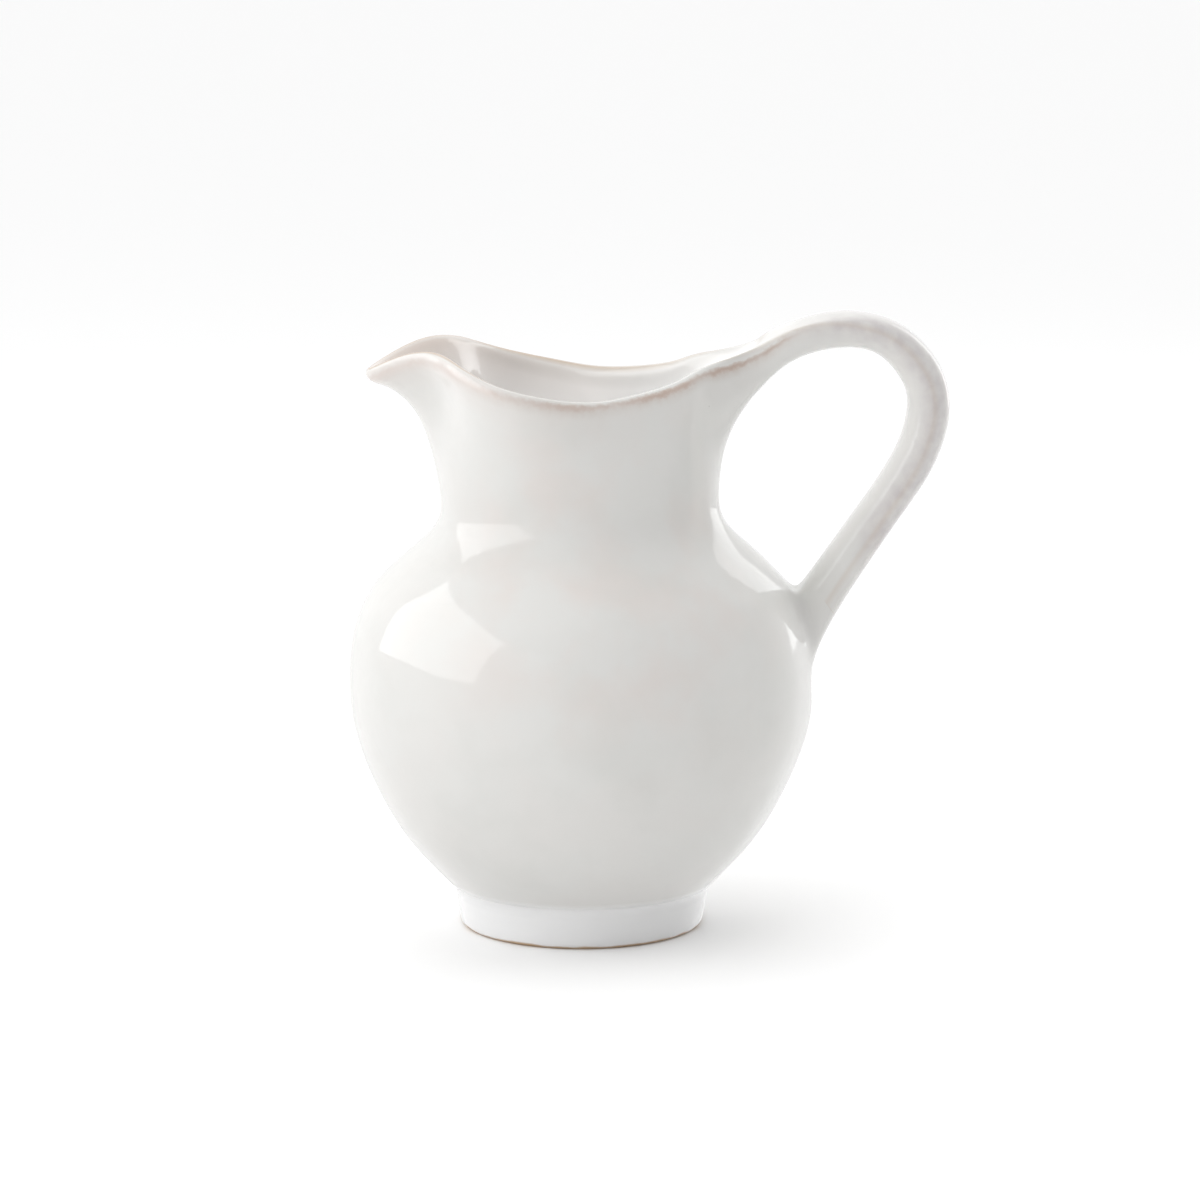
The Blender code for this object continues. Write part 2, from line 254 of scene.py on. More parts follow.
def throat(angle, outer, along):
    """Points up the outside from the neck to the lip, closer together near the lip."""
    spout = max(0, -math.cos(math.radians(angle)))
    lean = spout_neck_lean * spout
    reach = below_lip + (below_spout_lip - below_lip) * spout
    start = neck + Vector((spout_neck_pull * spout, 0))
    leave = start + above_neck * Vector((math.sin(lean), math.cos(lean)))
    fine = interpolate_bezier(start, leave, outer - reach * along, outer, throat_steps + 1)
    shares = [1 - (1 - i / throat_rows) ** throat_crowding for i in range(throat_rows + 1)]
    return [fine[round(throat_steps * share)] for share in shares]


def column_at(i):
    """The points of a column as (radius, height)."""
    outer, crest, inner, along = lip_at(angles[i])
    section = strap_section(0)
    beside = min(i, len(angles) - i)
    if beside == 0:
        outer, inner = flat(section[5]), flat(section[1])
    if beside == 1:
        outer, inner = flat(section[4]), flat(section[2])
    outside = [Vector((radius_at(height), height)) for height in heights] + throat(angles[i], outer, along)
    inside = []
    for k in range(1, len(outside) - 1):
        up = (outside[k + 1] - outside[k - 1]).normalized()
        share = max(0, k - len(heights)) / throat_rows
        thick = wall + ((outer - inner).length - wall) * share**2
        inside.append(outside[k] + thick * Vector((-up.y, up.x)))
    inside_floor = foot_height + floor_thickness
    inside = [point for point in inside if point.y > inside_floor + wall]
    floor_radius = inside[0].x - wall
    under = [Vector((under_radius / 2, foot_height)), Vector((under_radius, foot_height))]
    bottom = [Vector((floor_radius, inside_floor)), Vector((floor_radius / 2, inside_floor))]
    return under + outside + [crest, inner] + inside[::-1] + bottom


print(f"a column has {len(column_at(3))} points")

# %% [markdown]
# ## Tying the net
# BMesh is Blender's way to build a mesh point by point. The strap's first loop of eight points is the
# rim itself, and its last loop is the edge of an opening left in the shoulder, so the net is closed and
# every face has four corners, apart from the two fans in the middle of the underside and of the floor.

# %% Tie the columns and the strap into one net
BODY, HANDLE = 0, 1
net = bmesh.new()
piece_layer = net.faces.layers.int.new("piece")
crest_layer = net.verts.layers.float.new("from_crest")
sharp_layer = net.edges.layers.float.new("crease_edge")
last_row = len(column_at(0)) - 1
grid = []
for i, angle in enumerate(angles):
    c, s = math.cos(math.radians(angle)), math.sin(math.radians(angle))
    grid.append([net.verts.new((point.x * c, point.x * s, point.y)) for point in column_at(i)])
near, middle, far = grid[-1], grid[0], grid[1]
first_loop = [near[lip_row + 2], middle[lip_row + 2], far[lip_row + 2], far[lip_row + 1]]
first_loop += [far[lip_row], middle[lip_row], near[lip_row], near[lip_row + 1]]
for vert, place in zip(first_loop, strap_section(0)):
    vert.co = place
for column in grid:
    travelled = 0
    for row in range(lip_row, -1, -1):
        travelled += (column[row].co - column[row + 1].co).length
        column[row][crest_layer] = -travelled
    travelled = 0
    for row in range(lip_row + 2, last_row + 1):
        travelled += (column[row].co - column[row - 1].co).length
        column[row][crest_layer] = travelled
for i in range(len(angles)):
    here, there = grid[i], grid[(i + 1) % len(angles)]
    for row in range(last_row):
        open_for_strap = row in (root_row, root_row + 1, lip_row, lip_row + 1)
        if not (open_for_strap and i in (0, len(angles) - 1)):
            net.faces.new((here[row], there[row], there[row + 1], here[row + 1]))
net.verts.remove(middle[lip_row + 1])
under_middle = net.verts.new((0, 0, foot_height))
floor_middle = net.verts.new((0, 0, foot_height + floor_thickness))
under_middle[crest_layer], floor_middle[crest_layer] = near[0][crest_layer], near[last_row][crest_layer]
for i in range(len(angles)):
    here, there = grid[i], grid[(i + 1) % len(angles)]
    net.faces.new((under_middle, there[0], here[0]))
    net.faces.new((floor_middle, here[last_row], there[last_row]))
    net.edges.get((here[2], there[2]))[sharp_layer] = 1.0
print(f"the pot's net has {len(net.faces)} faces")

# %% Tie in the strap, from the rim to the opening in the shoulder
last_loop = [near[root_row], middle[root_row], far[root_row], far[root_row + 1]]
last_loop += [far[root_row + 2], middle[root_row + 2], near[root_row + 2], near[root_row + 1]]
# For each of a section's points: its face (1 outer, -1 finger side, 0 a ridge) and the nearer ridge.
side_and_ridge = ((1, 7), (1, 3), (1, 3), (0, 3), (-1, 3), (-1, 3), (-1, 7), (0, 7))
loops = [first_loop]
for i in range(1, strap_steps + 1):
    loop = [net.verts.new(place) for place in strap_section((len(strap) - 1) * i / strap_steps)]
    for k, (side, ridge) in enumerate(side_and_ridge):
        loop[k][crest_layer] = side * (loop[k].co - loop[ridge].co).length
    loops.append(loop)
loops.append(last_loop)
for loop, following in zip(loops, loops[1:]):
    for i in range(8):
        j = (i + 1) % 8
        net.faces.new((loop[i], loop[j], following[j], following[i]))[piece_layer] = HANDLE
net.verts.remove(middle[root_row + 1])
bmesh.ops.recalc_face_normals(net, faces=net.faces)
open_edges = sum(edge.is_boundary for edge in net.edges)
print(f"with the strap it has {len(net.faces)} faces and {open_edges} open edges")

# %% [markdown]
# ## Letting the net settle
# Smoothing pulls a surface inside its net, the way a taut cloth cuts corners. So each point is moved out
# first by as much as the smoothing will pull it in. A point's final place is a known average of the
# point and its neighbours, so four rounds of correcting by the difference bring the error near zero.

# %% Move the points so that the smooth surface passes through them
goals = []
for vert in net.verts:
    ridge = [edge.other_vert(vert) for edge in vert.link_edges if edge[sharp_layer]]
    around = [edge.other_vert(vert) for edge in vert.link_edges]
    if ridge:
        goals.append((vert, ridge, [], 4, 1, vert.co.copy()))
    elif all(len(face.verts) == 4 for face in vert.link_faces):
        opposite = [next(v for v in f.verts if v is not vert and v not in around) for f in vert.link_faces]
        goals.append((vert, around, opposite, len(around) ** 2, 4, vert.co.copy()))
settle_rounds = 4
for _ in range(settle_rounds):
    moves = []
    for vert, around, opposite, own, beside, goal in goals:
        total = own * vert.co + beside * sum((v.co for v in around), Vector())
        total += sum((v.co for v in opposite), Vector())
        moves.append((vert, goal - total / (own + beside * len(around) + len(opposite))))
    for vert, move in moves:
        vert.co += move
print(f"the last round moved no point more than {1e6 * max(move.length for _, move in moves):.0f} microns")

net_mesh = bpy.data.meshes.new("clay net")
net.to_mesh(net_mesh)
net.free()
clay = bpy.data.objects.new("clay net", net_mesh)
bpy.context.scene.collection.objects.link(clay)

# %% [markdown]
# ## A helper for node trees
# Geometry Nodes and materials are both trees of nodes. This helper adds one node, sets the values of
# its inputs by name, and links the inputs that are given another node's output.


# %% Add a node with its values and links
def add(tree, kind, settings=None, **inputs):
    """A new node. Settings are its own properties, and inputs are values or other nodes' outputs."""
    node = tree.nodes.new(kind)
    for name, value in (settings or {}).items():
        setattr(node, name, value)
    for name, value in inputs.items():
        socket = node.inputs[int(name[1:])] if name[0] == "_" else node.inputs[name.replace("_", " ")]
        if isinstance(value, bpy.types.NodeSocket):
            tree.links.new(value, socket)
        else:
            socket.default_value = value
    return node


def new_geometry_tree(name, inputs):
    """A geometry tree with a geometry input and output, and the named inputs that are listed."""
    tree = bpy.data.node_groups.new(name, "GeometryNodeTree")
    tree.interface.new_socket("Geometry", in_out="INPUT", socket_type="NodeSocketGeometry")
    for label, kind in inputs:
        tree.interface.new_socket(label, in_out="INPUT", socket_type=kind)
    tree.interface.new_socket("Geometry", in_out="OUTPUT", socket_type="NodeSocketGeometry")
    given, made = tree.nodes.new("NodeGroupInput"), tree.nodes.new("NodeGroupOutput")
    return tree, given.outputs, made.inputs[0]


def run_tree(obj, tree, values):
    """Puts the tree on the object with these values and returns the result as a plain mesh."""
    modifier = obj.modifiers.new(tree.name, "NODES")
    modifier.node_group = tree
    for item in tree.interface.items_tree:
        if item.in_out == "INPUT" and item.name in values:
            modifier[item.identifier] = values[item.name]
    bpy.context.view_layer.update()
    graph = bpy.context.evaluated_depsgraph_get()
    mesh = bpy.data.meshes.new_from_object(obj.evaluated_get(graph))
    obj.modifiers.remove(modifier)
    return mesh


print("helpers for node trees are ready")

# %% [markdown]
# ## The glaze
# The glaze is a glassy white coat, about half a millimetre thick. It is slightly warm and cloudy, with
# faint pink patches. On edges it runs off while it melts, so the brown of the clay shows through in a
# broken line under the rim, and more faintly on the strap's ridges. A few iron specks sit in it. The
# material also carries painted light, on the inside and the foot, and painted shade, on the strap. One
# material does all this from the object's own coordinates and from the distance stored on the net.

# %% Start the glaze: a cloudy white with faint pink patches
glaze = bpy.data.materials.new("white_glaze")
glaze.use_nodes = True
glaze_tree = glaze.node_tree
glaze_tree.nodes.clear()
place = add(glaze_tree, "ShaderNodeTexCoord").outputs["Object"]
line = add(glaze_tree, "ShaderNodeAttribute", {"attribute_name": "from_line"}).outputs["Fac"]
inside = add(glaze_tree, "ShaderNodeAttribute", {"attribute_name": "from_crest"}).outputs["Fac"]
apart = add(glaze_tree, "ShaderNodeSeparateXYZ", Vector=place).outputs

clean_white = (0.755, 0.75, 0.73, 1)
pink_white = (0.755, 0.705, 0.675, 1)
grey_white = (0.69, 0.69, 0.665, 1)
break_brown = (0.50, 0.36, 0.29, 1)
blush_middle = (0.006, -0.040, 0.080)  # the patch where the white is pinkest, on the front of the belly


def mix(factor, first, second):
    """One colour laid over another by a factor."""
    node = add(glaze_tree, "ShaderNodeMix", {"data_type": "RGBA"}, _0=factor, _6=first, _7=second)
    return node.outputs[2]


def spread(value, low, high, to_low=0.0, to_high=1.0):
    """A value moved from one range to another and held inside it."""
    node = add(glaze_tree, "ShaderNodeMapRange", _0=value, _1=low, _2=high, _3=to_low, _4=to_high)
    return node.outputs[0]


def combine(operation, first, second):
    return add(glaze_tree, "ShaderNodeMath", {"operation": operation}, _0=first, _1=second).outputs[0]


def noise(scale, detail=2.0, roughness=0.5, seed=0.0):
    node = add(
        glaze_tree, "ShaderNodeTexNoise", {"noise_dimensions": "4D"}, Vector=place, W=seed, Scale=scale,
        Detail=detail, Roughness=roughness,
    )
    return node.outputs["Fac"]


def apart_from(middle):
    """How far each place is from a point."""
    node = add(glaze_tree, "ShaderNodeVectorMath", {"operation": "DISTANCE"}, _0=place, _1=middle)
    return node.outputs["Value"]


pink = spread(noise(60, detail=3.0, seed=2.0), 0.42, 0.62, 0.0, 0.85)
pink = combine("MULTIPLY", pink, spread(apart_from(blush_middle), 0.045, 0.018, 0.15, 1.0))
cloud = spread(noise(55, detail=3.0, seed=7.0), 0.48, 0.72, 0.0, 0.55)
colour = mix(cloud, mix(pink, clean_white, pink_white), grey_white)
print("the glaze starts from a cloudy white")

# %% [markdown]
# ## Where the glaze runs thin
# The brown line is strongest about two millimetres below the crest, on the outer corner of the lip.
# Noise breaks it up, as real glaze creeps unevenly. It has a soft wide part and a narrow dark core, and
# the core is fainter at the spout. On the strap little of the brown is left.

# %% The broken brown line
ragged = spread(noise(650, detail=3.0, roughness=0.65, seed=1.0), 0.3, 0.7, -0.00035, 0.00035)
ragged_line = combine("ADD", line, ragged)
above_line = spread(ragged_line, 0.0001, 0.0009, 1.0, 0.0)
below_line = spread(ragged_line, -0.0032, -0.0001, 0.0, 1.0)
patchy = spread(noise(150, detail=3.0, seed=3.0), 0.30, 0.62, 0.26, 0.56)
faint_on_strap = spread(apart["X"], 0.039, 0.048, 1.0, 0.22)
patchy = combine("MULTIPLY", patchy, faint_on_strap)
thin = combine("MULTIPLY", combine("MULTIPLY", above_line, combine("POWER", below_line, 2.0)), patchy)
colour = mix(thin, colour, break_brown)
core = combine("MULTIPLY", above_line, spread(ragged_line, -0.0009, -0.0001))
core = combine("MULTIPLY", core, spread(apart["X"], -0.030, -0.008, 0.30, 1.0))
colour = mix(combine("MULTIPLY", core, spread(patchy, 0.26, 0.50, 0.05, 0.50)), colour, break_brown)
print("the glaze breaks under the rim")

# %% [markdown]
# ## The strap's glaze
# A strap is dipped with the pot but drains along its length, so its ridges turn a mottled lilac grey
# and not brown; that grey is also painted shade and a painted dark reflection. The strap's white is made a
# little greyer too: partly its thinner glaze, partly painted shade on its lit top. In the corner where it
# meets the shoulder a soft grey is painted shade.

# %% Grey the strap, mottle its ridges and paint shade into the joint's corner
strap_white_and_shade = (0.67, 0.645, 0.635, 1)
lilac_grey_and_shade = (0.55, 0.51, 0.53, 1)
corner_painted_shade = (0.50, 0.505, 0.475, 1)
joint_corner = (0.0478, 0.0, 0.0735)
on_strap = spread(apart["X"], 0.042, 0.054)
# Partly painted shade: the strap is laid over with a slightly greyer white, which tones down its lit top.
colour = mix(combine("MULTIPLY", on_strap, 0.10), colour, strap_white_and_shade)
mottled = spread(noise(300, detail=4.0, seed=4.0), 0.38, 0.62, 0.12, 0.60)
# The lilac grey around the strap's glaze line is partly the glaze's mottle and partly painted shade and a
# painted dark reflection.
shade_on_strap = combine("MULTIPLY", spread(line, -0.0034, 0.0004), spread(line, 0.0046, 0.0006))
shade_on_strap = combine("MULTIPLY", combine("MULTIPLY", shade_on_strap, on_strap), mottled)
colour = mix(shade_on_strap, colour, lilac_grey_and_shade)
# Painted shade: a soft grey in the corner where the strap meets the shoulder.
colour = mix(spread(apart_from(joint_corner), 0.0105, 0.0030, 0.0, 0.45), colour, corner_painted_shade)
print("the strap is mottled")

# %% [markdown]
# ## The inside of the mouth
# The inside is glazed by pouring glaze in and out, and it is painted a brighter white: painted light,
# standing for the light that falls into the mouth. Just under the crest a wide tan tint fades down the
# wall, most of all in the spout, where the glaze drains away with every pour. The crest's inner edge has
# a thin tan line, and the spout's outside is flushed pink.

# %% Paint light on the inside and stain it near the spout
inside_painted_light = (0.97, 0.965, 0.955, 1)
inside_tan = (0.70, 0.615, 0.56, 1)
edge_tan = (0.53, 0.40, 0.29, 1)
off_strap = spread(apart["X"], 0.038, 0.046, 1.0, 0.0)
# Painted light: the inside, away from the strap, is painted a brighter white.
colour = mix(combine("MULTIPLY", spread(inside, 0.0008, 0.0060), off_strap), colour, inside_painted_light)
drained = combine("MULTIPLY", spread(inside, 0.0004, 0.0030), spread(inside, 0.020, 0.004))
towards_spout = spread(apart["X"], 0.014, -0.030, 0.05, 0.85)
colour = mix(combine("MULTIPLY", drained, towards_spout), colour, inside_tan)
edge_line = combine("MULTIPLY", spread(inside, 0.0001, 0.0008), spread(inside, 0.0022, 0.0010))
edge_strength = spread(apart["X"], 0.036, -0.020, 0.20, 0.90)
colour = mix(combine("MULTIPLY", edge_line, edge_strength), colour, edge_tan)
flushed = combine("MULTIPLY", spread(line, -0.0075, -0.0005, 0.0, 0.8), towards_spout)
colour = mix(combine("MULTIPLY", flushed, spread(inside, 0.0004, -0.0004)), colour, pink_white)
# The inside's brighter white is painted light.
print("the inside is poured white and stained at the spout")

# %% [markdown]
# ## The foot, the specks and the gloss
# The foot is painted a lighter white below about a centimetre: painted light, for the light that reaches
# under the belly. A speck is one grain of iron in the clay: a Voronoi texture scatters points, and only a
# few of its cells are kept. The glaze is wiped off the standing edge, so that the pot doesn't stick to the
# kiln shelf, and the bare clay there is ochre and dull.

# %% Painted light on the foot, specks, bare clay and the shader
foot_painted_light = (0.92, 0.92, 0.92, 1)
speck_brown = (0.20, 0.17, 0.14, 1)
ochre_clay = (0.50, 0.30, 0.13, 1)
glaze_roughness, clay_roughness = 0.06, 0.6
glass_ior = 1.52
# Painted light: below about a centimetre the foot and the underside are painted a lighter white.
colour = mix(spread(apart["Z"], 0.0105, 0.0085), colour, foot_painted_light)
grains = add(glaze_tree, "ShaderNodeTexVoronoi", Vector=place, Scale=75.0)
grain_number = add(glaze_tree, "ShaderNodeSeparateColor", Color=grains.outputs["Color"]).outputs[0]
kept = spread(grain_number, 0.90, 0.91)
speck = combine("MULTIPLY", spread(grains.outputs["Distance"], 0.022, 0.014), kept)
colour = mix(combine("MULTIPLY", speck, 0.7), colour, speck_brown)

wiped_edge = spread(noise(160, detail=2.0, seed=5.0), 0.3, 0.7, 0.0003, 0.0008)
bare = spread(combine("SUBTRACT", apart["Z"], wiped_edge), 0.0002, -0.0002)
colour = mix(combine("MULTIPLY", bare, 0.85), colour, ochre_clay)

orange_peel = noise(520, detail=1.0, seed=9.0)
bump = add(glaze_tree, "ShaderNodeBump", Strength=0.05, Distance=0.0004, Height=orange_peel)
shader = add(
    glaze_tree, "ShaderNodeBsdfPrincipled", Base_Color=colour, IOR=glass_ior, Normal=bump.outputs["Normal"],
    Roughness=spread(bare, 0.0, 1.0, glaze_roughness, clay_roughness),
)
add(glaze_tree, "ShaderNodeOutputMaterial", Surface=shader.outputs[0])
print(f"the glaze has {len(glaze_tree.nodes)} nodes")

# %% [markdown]
# ## Smoothing the clay, with the hand in it
# A Geometry Nodes tree finishes the net. It smooths it with a subdivision surface, then moves the
# surface in and out by about a tenth of a millimetre. That is too little to see in the outline, but it
# is what makes the reflections of a hand-made pot wander. The underside and the crease stay still, as
# the foot ring meets them there. The seed is fixed, so the same pot comes out every time.

# %% Build the tree that smooths and waves the clay
clay_inputs = (
    ("Smoothness", "NodeSocketInt"),
    ("Wave depth", "NodeSocketFloat"),
    ("Waves per metre", "NodeSocketFloat"),
    ("Ring depth", "NodeSocketFloat"),
    ("Rings per metre", "NodeSocketFloat"),
    ("Still below", "NodeSocketFloat"),
    ("Seed", "NodeSocketFloat"),
    ("Glaze", "NodeSocketMaterial"),
)
clay_tree, given, made = new_geometry_tree("smooth and wave the clay", clay_inputs)
crease_value = add(clay_tree, "GeometryNodeInputNamedAttribute", {"data_type": "FLOAT"}, Name="crease_edge")
smooth_clay = add(
    clay_tree, "GeometryNodeSubdivisionSurface", Mesh=given["Geometry"], Level=given["Smoothness"],
    Edge_Crease=crease_value.outputs[0],
)
here = add(clay_tree, "GeometryNodeInputPosition").outputs[0]
outwards = add(clay_tree, "GeometryNodeInputNormal").outputs[0]
height = add(clay_tree, "ShaderNodeSeparateXYZ", Vector=here).outputs["Z"]


def clay_math(operation, first, second):
    return add(clay_tree, "ShaderNodeMath", {"operation": operation}, _0=first, _1=second).outputs[0]


def wander(place_from, scale, detail):
    """Smooth noise from -0.5 to 0.5."""
    node = add(
        clay_tree, "ShaderNodeTexNoise", {"noise_dimensions": "4D"}, Vector=place_from, W=given["Seed"],
        Scale=scale, Detail=detail, Roughness=0.45,
    )
    return clay_math("SUBTRACT", node.outputs["Fac"], 0.5)


def clay_vector(operation, **inputs):
    return add(clay_tree, "ShaderNodeVectorMath", {"operation": operation}, **inputs).outputs[0]


settles_over = 0.008  # the height over which the still foot turns into the moving wall
wave = clay_math("MULTIPLY", wander(here, given["Waves per metre"], 1.5), given["Wave depth"])
squashed = clay_vector("MULTIPLY", _0=here, _1=(0.25, 0.25, 1.0))
rings = clay_math("MULTIPLY", wander(squashed, given["Rings per metre"], 1.0), given["Ring depth"])
free = add(
    clay_tree, "ShaderNodeMapRange", {"interpolation_type": "SMOOTHSTEP"}, Value=height,
    _1=given["Still below"], _2=clay_math("ADD", given["Still below"], settles_over), _3=0.0, _4=1.0,
).outputs[0]
push = clay_math("MULTIPLY", clay_math("ADD", wave, rings), free)
offset = clay_vector("SCALE", Vector=outwards, Scale=push)
moved = add(clay_tree, "GeometryNodeSetPosition", Geometry=smooth_clay.outputs[0], Offset=offset)
shaded = add(clay_tree, "GeometryNodeSetShadeSmooth", _0=moved.outputs[0])
real_clay = add(clay_tree, "GeometryNodeRealizeInstances", Geometry=shaded.outputs[0])
glazed = add(clay_tree, "GeometryNodeSetMaterial", Geometry=real_clay.outputs[0], Material=given["Glaze"])
clay_tree.links.new(glazed.outputs[0], made)
print(f"the clay's tree has {len(clay_tree.nodes)} nodes")

# %% Smooth the net
clay_values = {
    "Smoothness": 3,
    "Wave depth": 0.00050,
    "Waves per metre": 42.0,
    "Ring depth": 0.00010,
    "Rings per metre": 95.0,
    "Still below": 0.0095,
    "Seed": 3.0,
    "Glaze": glaze,
}
whole = run_tree(clay, clay_tree, clay_values)
bpy.data.objects.remove(clay, do_unlink=True)
print(f"the smooth clay has {len(whole.polygons)} faces")

# %% [markdown]
# ## Measuring how far the glaze line is
# On the rim the line lies below the crest, and on the strap it lies on the ridge itself. The distance
# that the net carried through the smoothing is shifted by that much, and stored for the glaze to read.
# Low on the strap the distance grows, so that the line dies away before the joint.

# %% Store the distance from the glaze line
line_below_crest = 0.0017
line_fades_from, line_fades_to = 0.030, 0.048
line_ends_at, line_ends_by = 0.086, 0.45
crest_distance = whole.attributes["from_crest"].data
line_distance = whole.attributes.new("from_line", "FLOAT", "POINT").data
whole_normal = whole.attributes.new("whole_normal", "FLOAT_VECTOR", "POINT").data
for vert in whole.vertices:
    on_strap = min(1, max(0, (vert.co.x - line_fades_from) / (line_fades_to - line_fades_from)))
    distance = crest_distance[vert.index].value + line_below_crest * (1 - on_strap)
    if distance > 0:
        distance *= 1 - 0.5 * on_strap
    distance -= line_ends_by * max(0, line_ends_at - vert.co.z)
    line_distance[vert.index].value = distance
    whole_normal[vert.index].vector = vert.normal
print(f"the line runs {1000 * line_below_crest:.1f} mm below the crest")

# %% [markdown]
# ## Parting the body and the strap
# The two are separate pieces of clay, so the smooth surface is cut where they were joined with slip.
# Each piece gets its open ends closed. The shading along the cut is kept from the whole surface, as
# custom normals, so that no line shows where the glaze covers the joint.


# %% Cut one piece out of the smooth surface
def open_rings(part):
    """The open borders of a mesh, each as a ring of vertices."""
    border = {edge for edge in part.edges if edge.is_boundary}
    rings_found = []
    while border:
        edge = border.pop()
        start, vert = edge.verts
        ring = [start]
        while vert is not start:
            ring.append(vert)
            edge = next(e for e in vert.link_edges if e in border)
            border.remove(edge)
            vert = edge.other_vert(vert)
        rings_found.append(ring)
    return rings_found


def piece_of_clay(name, which):
    part = bmesh.new()
    part.from_mesh(whole)
    layer = part.faces.layers.int["piece"]
    bmesh.ops.delete(part, geom=[face for face in part.faces if face[layer] != which], context="FACES")
    normal_layer = part.verts.layers.float_vector["whole_normal"]
    for ring in open_rings(part):
        hub = part.verts.new(sum((vert.co for vert in ring), Vector()) / len(ring))
        hub[normal_layer] = Vector((1, 0, 0)) if which == BODY else Vector((-1, 0, 0))
        for i, vert in enumerate(ring):
            part.faces.new((vert, ring[(i + 1) % len(ring)], hub)).smooth = True
    bmesh.ops.recalc_face_normals(part, faces=part.faces)
    mesh = bpy.data.meshes.new(name)
    part.to_mesh(mesh)
    part.free()
    mesh.materials.clear()
    mesh.materials.append(glaze)
    normals = [Vector(value.vector) for value in mesh.attributes["whole_normal"].data]
    mesh.normals_split_custom_set_from_vertices(normals)
    for spare in ("whole_normal", "piece"):
        mesh.attributes.remove(mesh.attributes[spare])
    piece = bpy.data.objects.new(name, mesh)
    bpy.context.scene.collection.objects.link(piece)
    print(f"{name}: {len(mesh.polygons)} faces")
    return piece


thrown_body = piece_of_clay("thrown_body", BODY)
strap_handle = piece_of_clay("strap_handle", HANDLE)
bpy.data.meshes.remove(whole)

# %% [markdown]
# ## The foot ring
# The ring is turned: one cross-section carried round the axis. That is a plain rule, so Geometry Nodes
# do it. A flat grid is rolled up, with its columns as angles and its rows as places along the
# cross-section, and the seam is welded. The cross-section starts inside the belly's clay, so that no
# edge of it shows, comes out at the crease in a soft hollow, and has soft corners where it stands.

# %% The ring's cross-section
foot_radius = 0.0257
foot_inside = under_radius
ring_section = (
    (0.0292, 0.0111), (0.0284, 0.0097), (crease_radius, foot_height), (0.0272, 0.0083), (0.0268, 0.0075),
    (0.0265, 0.0065), (0.0263, 0.0050), (0.0260, 0.0030),
    (foot_radius, 0.0014), (0.0255, 0.0006), (0.0250, 0.0001), (0.0246, 0.0000), (0.0232, 0.0000),
    (0.0216, 0.0000), (0.0211, 0.0002), (0.0207, 0.0007), (foot_inside, 0.0016), (foot_inside, 0.0050),
    (foot_inside, 0.0082), (0.0200, 0.0092), (0.0240, 0.0093),
)
section_curve = bpy.data.curves.new("ring section", "CURVE")
section_curve.dimensions = "3D"
spline = section_curve.splines.new("POLY")
spline.points.add(len(ring_section) - 1)
for point, (radius, up) in zip(spline.points, ring_section):
    point.co = (radius, 0, up, 1)
spline.use_cyclic_u = True
ring = bpy.data.objects.new("ring section", section_curve)
bpy.context.scene.collection.objects.link(ring)
print(f"the ring's section has {len(ring_section)} corners")

# %% Build the tree that turns a section about the axis
turn_inputs = (("Columns", "NodeSocketInt"), ("Rows", "NodeSocketInt"), ("Glaze", "NodeSocketMaterial"))
turn_tree, given, made = new_geometry_tree("turn a section", turn_inputs)
sheet = add(
    turn_tree, "GeometryNodeMeshGrid", Size_X=1.0, Size_Y=1.0, Vertices_X=given["Columns"],
    Vertices_Y=given["Rows"],
)
place_on_sheet = add(turn_tree, "GeometryNodeInputPosition").outputs[0]
over = add(turn_tree, "ShaderNodeSeparateXYZ", Vector=place_on_sheet).outputs
along_section = add(turn_tree, "ShaderNodeMath", {"operation": "ADD"}, _0=over["Y"], _1=0.5)
turned_by = add(turn_tree, "ShaderNodeMath", {"operation": "MULTIPLY"}, _0=over["X"], _1=2 * math.pi)
on_section = add(
    turn_tree, "GeometryNodeSampleCurve", {"mode": "FACTOR"}, Curves=given["Geometry"],
    Factor=along_section.outputs[0],
)
turned = add(
    turn_tree, "ShaderNodeVectorRotate", {"rotation_type": "Z_AXIS"}, Vector=on_section.outputs["Position"],
    Angle=turned_by.outputs[0],
)
rolled = add(turn_tree, "GeometryNodeSetPosition", Geometry=sheet.outputs["Mesh"], Position=turned.outputs[0])
welded = add(turn_tree, "GeometryNodeMergeByDistance", Geometry=rolled.outputs[0], Distance=0.00001)
softly = add(turn_tree, "GeometryNodeSetShadeSmooth", _0=welded.outputs[0])
real_ring = add(turn_tree, "GeometryNodeRealizeInstances", Geometry=softly.outputs[0])
glazed_ring = add(
    turn_tree, "GeometryNodeSetMaterial", Geometry=real_ring.outputs[0], Material=given["Glaze"]
)
turn_tree.links.new(glazed_ring.outputs[0], made)
print(f"the turning tree has {len(turn_tree.nodes)} nodes")

# %% Turn the ring
far_outside = -0.1  # the distance from the rim that the ring is given: too far for any of the rim's colours
ring_mesh = run_tree(ring, turn_tree, {"Columns": 193, "Rows": 97, "Glaze": glaze})
bpy.data.objects.remove(ring, do_unlink=True)
outside_in = bmesh.new()
outside_in.from_mesh(ring_mesh)
bmesh.ops.recalc_face_normals(outside_in, faces=outside_in.faces)
ring_volume = outside_in.calc_volume(signed=True)
far_from_rim = outside_in.verts.layers.float.new("from_line")
inside_layer = outside_in.verts.layers.float.new("from_crest")
for vert in outside_in.verts:
    vert[far_from_rim] = far_outside
    vert[inside_layer] = far_outside
outside_in.to_mesh(ring_mesh)
outside_in.free()
turned_foot = bpy.data.objects.new("turned_foot", ring_mesh)
bpy.context.scene.collection.objects.link(turned_foot)
print(f"the ring holds {1e6 * ring_volume:.1f} ml of clay")

# %% [markdown]
# ## Handing the pieces to the frame
# Each finished piece takes the place of one measured solid, which is hidden, and moves with the same
# body. The pitcher has no moving parts, so that is always the root.

